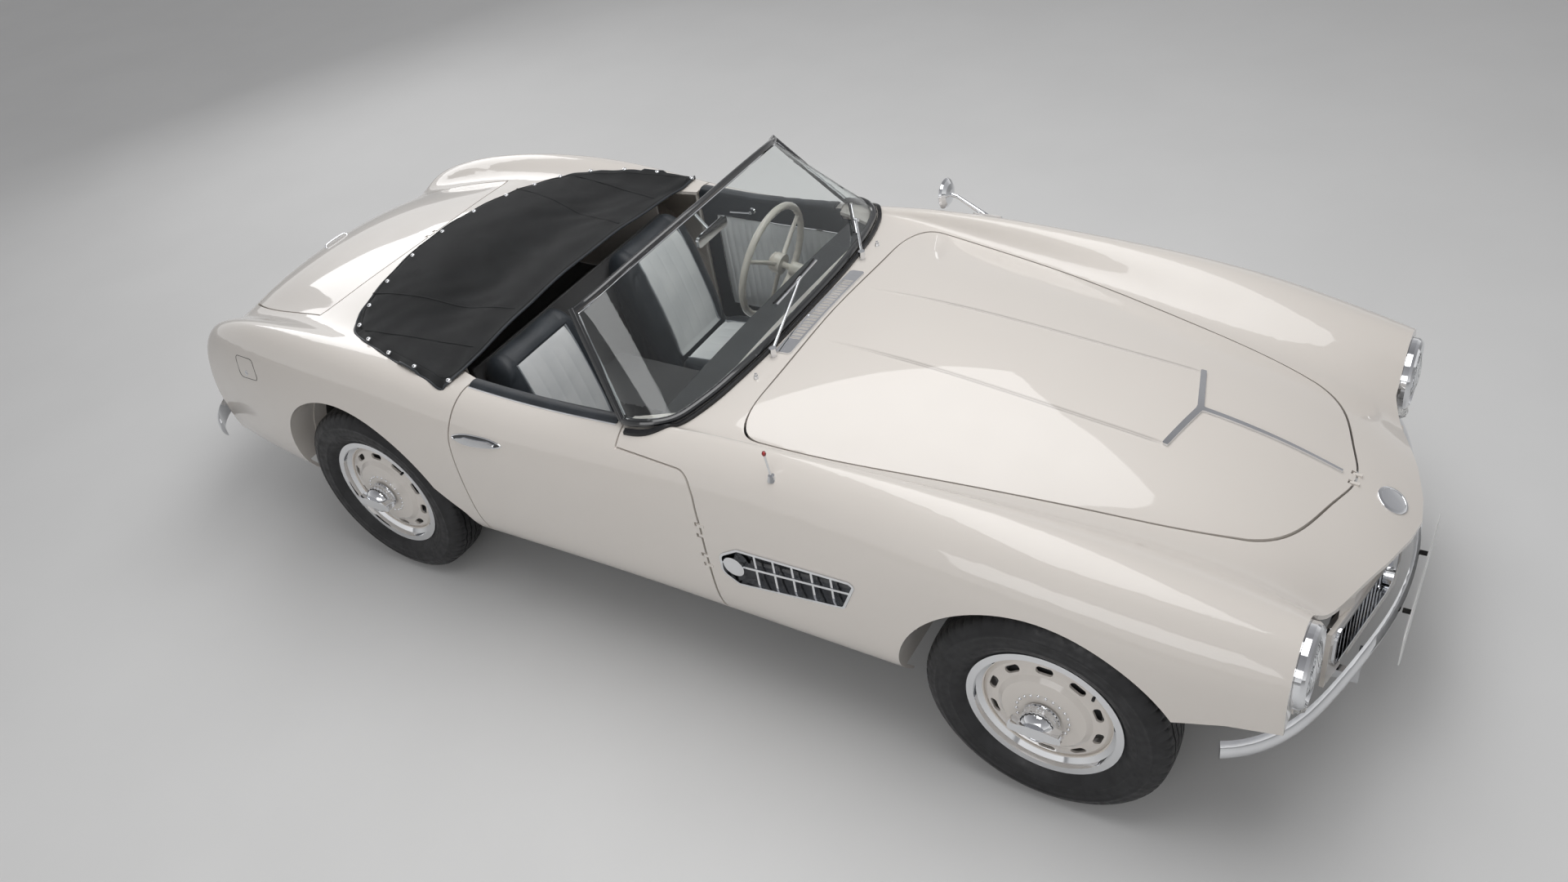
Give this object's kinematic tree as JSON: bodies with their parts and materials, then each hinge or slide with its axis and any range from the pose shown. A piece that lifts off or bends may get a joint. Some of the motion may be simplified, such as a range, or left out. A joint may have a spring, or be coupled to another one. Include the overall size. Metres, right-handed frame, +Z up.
{
  "type": "roadster convertible",
  "caption": "Open two-seat roadster with front-hinged bonnet and boot lid, opening doors, steering front wheels and a soft cover behind the seats.",
  "frame": {"origin": "on the ground below the centre of the car's bounding box", "axes": "+X forward along the car, +Y to the car's left, +Z up"},
  "size_m": [4.336, 1.697, 1.2346],
  "materials": {
    "paint_ivory": "gloss",
    "frame_black": "satin",
    "chrome_trim": "polished",
    "steel_plain": "satin",
    "iron_cast": "matte",
    "aluminium_cast": "satin",
    "tyre_rubber": "matte",
    "screen_glass": "clear",
    "lamp_glass": "clear",
    "lamp_clear": "clear",
    "lamp_red": "clear",
    "leather_white": "satin",
    "cloth_black": "matte",
    "dash_dark": "satin",
    "ivory_plastic": "gloss",
    "rubber_black": "matte"
  },
  "bodies": {
    "car": {"front_body": "paint_ivory", "rear_body": "paint_ivory", "floor_tub": "paint_ivory", "chassis_frame": "frame_black", "engine_block": "aluminium_cast", "driveline": "iron_cast", "exhaust": "steel_plain", "front_suspension": "frame_black", "rear_axle": "iron_cast", "nose_trim": "chrome_trim", "headlamp_lenses": "lamp_glass", "turn_lamps": "lamp_clear", "front_bumper": "chrome_trim", "rear_bumper": "chrome_trim", "windscreen_frame": "chrome_trim", "windscreen_glass": "screen_glass", "dashboard": "dash_dark", "steering_column": "frame_black", "seat_left": "leather_white", "seat_right": "leather_white", "top_cover": "cloth_black", "vents": "chrome_trim", "wipers": "chrome_trim", "wing_fittings": "chrome_trim", "tail_lamps": "lamp_red", "controls": "frame_black", "windscreen_seal": "rubber_black"},
    "bonnet": {"bonnet": "paint_ivory", "bonnet_trim": "chrome_trim"},
    "boot_lid": {"boot_lid": "paint_ivory"},
    "door_left": {"door_left": "paint_ivory", "door_handle_left": "chrome_trim"},
    "door_right": {"door_right": "paint_ivory", "door_handle_right": "chrome_trim"},
    "steering_wheel": {"steering_wheel": "ivory_plastic"},
    "knuckle_left": {"knuckle_left": "iron_cast"},
    "knuckle_right": {"knuckle_right": "iron_cast"},
    "wheel_front_left": {"wheel_front_left": "paint_ivory", "tyre_front_left": "tyre_rubber"},
    "wheel_front_right": {"wheel_front_right": "paint_ivory", "tyre_front_right": "tyre_rubber"},
    "wheel_rear_left": {"wheel_rear_left": "paint_ivory", "tyre_rear_left": "tyre_rubber"},
    "wheel_rear_right": {"wheel_rear_right": "paint_ivory", "tyre_rear_right": "tyre_rubber"}
  },
  "joints": [
    {"name": "steer_left", "type": "hinge", "parent": "car", "child": "knuckle_left", "pos_m": [1.4, 0.6445, 0.345], "axis": [0, 0, 1], "range_deg": [-32, 32]},
    {"name": "steer_right", "type": "hinge", "parent": "car", "child": "knuckle_right", "pos_m": [1.4, -0.6445, 0.345], "axis": [0, 0, 1], "range_deg": [-32, 32]},
    {"name": "steering_wheel_turn", "type": "hinge", "parent": "car", "child": "steering_wheel", "pos_m": [-0.053, 0.37, 0.822], "axis": [-0.978, 0, 0.2085], "range_deg": [-520, 520]},
    {"name": "spin_front_left", "type": "hinge", "parent": "knuckle_left", "child": "wheel_front_left", "pos_m": [1.4, 0.7225, 0.345], "axis": [0, 1, 0], "continuous": true},
    {"name": "spin_front_right", "type": "hinge", "parent": "knuckle_right", "child": "wheel_front_right", "pos_m": [1.4, -0.7225, 0.345], "axis": [0, 1, 0], "continuous": true},
    {"name": "spin_rear_left", "type": "hinge", "parent": "car", "child": "wheel_rear_left", "pos_m": [-1.08, 0.7125, 0.345], "axis": [0, 1, 0], "continuous": true},
    {"name": "spin_rear_right", "type": "hinge", "parent": "car", "child": "wheel_rear_right", "pos_m": [-1.08, -0.7125, 0.345], "axis": [0, 1, 0], "continuous": true},
    {"name": "door_left_swing", "type": "hinge", "parent": "car", "child": "door_left", "pos_m": [0.3865, 0.8054, 0.63], "axis": [0, 0, -1], "range_deg": [0, 65]},
    {"name": "door_right_swing", "type": "hinge", "parent": "car", "child": "door_right", "pos_m": [0.3865, -0.8054, 0.63], "axis": [0, 0, 1], "range_deg": [0, 65]},
    {"name": "bonnet_lift", "type": "hinge", "parent": "car", "child": "bonnet", "pos_m": [1.9615, 0, 0.71126], "axis": [0, 1, 0], "range_deg": [0, 60]},
    {"name": "boot_lift", "type": "hinge", "parent": "car", "child": "boot_lid", "pos_m": [-1.3305, 0, 0.93022], "axis": [0, 1, 0], "range_deg": [0, 60]}
  ],
  "couplings": [
    {"joint": "steer_right", "follows": "steer_left", "ratio": 1},
    {"joint": "steering_wheel_turn", "follows": "steer_left", "ratio": 16}
  ]
}
